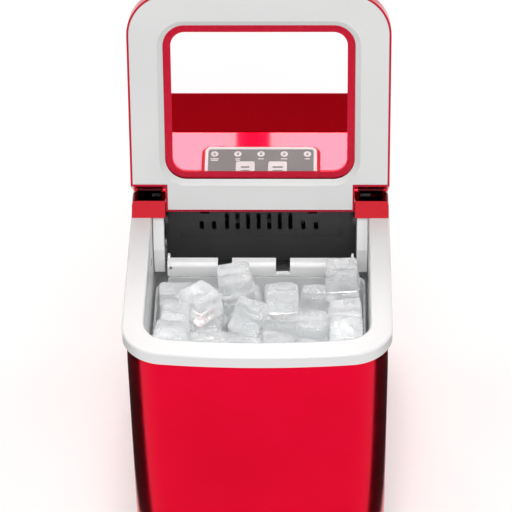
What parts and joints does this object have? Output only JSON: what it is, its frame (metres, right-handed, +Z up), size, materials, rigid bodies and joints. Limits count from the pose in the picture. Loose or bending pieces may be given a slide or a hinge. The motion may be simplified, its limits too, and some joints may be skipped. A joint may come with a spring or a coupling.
{
  "type": "portable ice maker",
  "caption": "Countertop ice maker with an open hinged window lid, ice basket, push shovel, sloping control panel and a vented rear bay with compressor, condenser and fan.",
  "frame": {"origin": "on the surface the machine stands on, under the middle of its footprint", "axes": "+X to the machine's right as seen from the front, +Y to the back, +Z up; the lid's hinge runs along X"},
  "size_m": [0.242, 0.358, 0.5126],
  "materials": {
    "red_gloss": "high gloss moulded plastic",
    "white_plastic": "satin white moulded plastic",
    "lid_grey": "satin light grey plastic",
    "mechanism_white": "satin white plastic",
    "window_clear": "clear plastic",
    "basket_clear": "translucent clear plastic",
    "face_grey": "matt grey overlay",
    "lens_white": "milky indicator plastic",
    "dark_plastic": "fine matt dark grey plastic",
    "rear_red": "red painted sheet",
    "rubber_black": "matt rubber",
    "hose_clear": "milky silicone hose",
    "steel": "plated steel",
    "nickel": "nickel plated",
    "compressor_black": "semi-gloss black paint",
    "copper": "drawn copper",
    "aluminium_fin": "thin rolled aluminium",
    "brass": "machined brass",
    "board_green": "circuit board",
    "foam": "rigid foam"
  },
  "bodies": {
    "cabinet": {"rubber_feet": "rubber_black", "base_pan": "dark_plastic", "front_panel": "red_gloss", "left_side_panel": "red_gloss", "right_side_panel": "red_gloss", "rear_panel": "rear_red", "rear_screws": "steel", "power_inlet": "dark_plastic", "bin_bezel": "white_plastic", "rear_deck": "red_gloss", "lid_hinge_pins": "steel", "control_bezel": "white_plastic", "control_face": "face_grey", "indicator_lenses": "lens_white", "control_board": "board_green", "bin_liner": "lid_grey", "foam_insulation": "foam", "ice_full_sensors": "dark_plastic", "evaporator_cover": "dark_plastic", "arm_pivot_pins": "dark_plastic", "evaporator": "nickel", "tray_motor": "steel", "water_pump": "dark_plastic", "supply_hose": "hose_clear", "drain_pipe": "hose_clear", "compressor": "compressor_black", "compressor_grommets": "rubber_black", "condenser_fins": "aluminium_fin", "condenser_coil": "copper", "fan_shroud": "dark_plastic", "fan_motor": "steel", "filter_drier": "copper", "discharge_pipe": "copper", "liquid_pipe": "copper", "capillary_tube": "copper", "suction_pipe": "copper", "hot_gas_valve": "brass", "bypass_pipe": "copper"},
    "lid": {"lid_shell": "red_gloss", "lid_liner": "lid_grey", "lid_window": "window_clear"},
    "basket": {"ice_basket": "basket_clear"},
    "shovel": {"left_swing_arm": "mechanism_white", "right_swing_arm": "mechanism_white", "ice_shovel": "mechanism_white", "shovel_pins": "mechanism_white"},
    "tray": {"water_tray": "basket_clear"},
    "on_off": {"on_off_button": "white_plastic"},
    "select": {"select_button": "white_plastic"},
    "fan": {"fan_blade": "dark_plastic"},
    "drain": {"drain_plug": "rubber_black"}
  },
  "joints": [
    {"name": "lid_hinge", "type": "hinge", "parent": "cabinet", "child": "lid", "pos_m": [0, 0.031, 0.309], "axis": [1, 0, 0], "range_deg": [0, 106]},
    {"name": "basket_lift", "type": "slide", "parent": "cabinet", "child": "basket", "axis": [0, 0, -1], "range_m": [-0.25, 0]},
    {"name": "shovel_swing", "type": "hinge", "parent": "cabinet", "child": "shovel", "pos_m": [0, 0.024, 0.292], "axis": [1, 0, 0], "range_deg": [0, 24]},
    {"name": "tray_tilt", "type": "hinge", "parent": "cabinet", "child": "tray", "pos_m": [0, 0.0625, 0.232], "axis": [1, 0, 0], "range_deg": [0, 54]},
    {"name": "on_off_press", "type": "slide", "parent": "cabinet", "child": "on_off", "axis": [0, 0.1392, -0.9903], "range_m": [0, 0.0009], "stiffness_N_per_m": 500, "springref_m": -0.0006},
    {"name": "select_press", "type": "slide", "parent": "cabinet", "child": "select", "axis": [0, 0.1392, -0.9903], "range_m": [0, 0.0009], "stiffness_N_per_m": 500, "springref_m": -0.0006},
    {"name": "fan_spin", "type": "hinge", "parent": "cabinet", "child": "fan", "pos_m": [0.058, 0.136, 0.105], "axis": [0, 1, 0], "continuous": true},
    {"name": "drain_pull", "type": "slide", "parent": "cabinet", "child": "drain", "axis": [-1, 0, 0], "range_m": [0, 0.02]}
  ],
  "couplings": [
    {"joint": "tray_tilt", "follows": "shovel_swing", "ratio": 2.25}
  ]
}
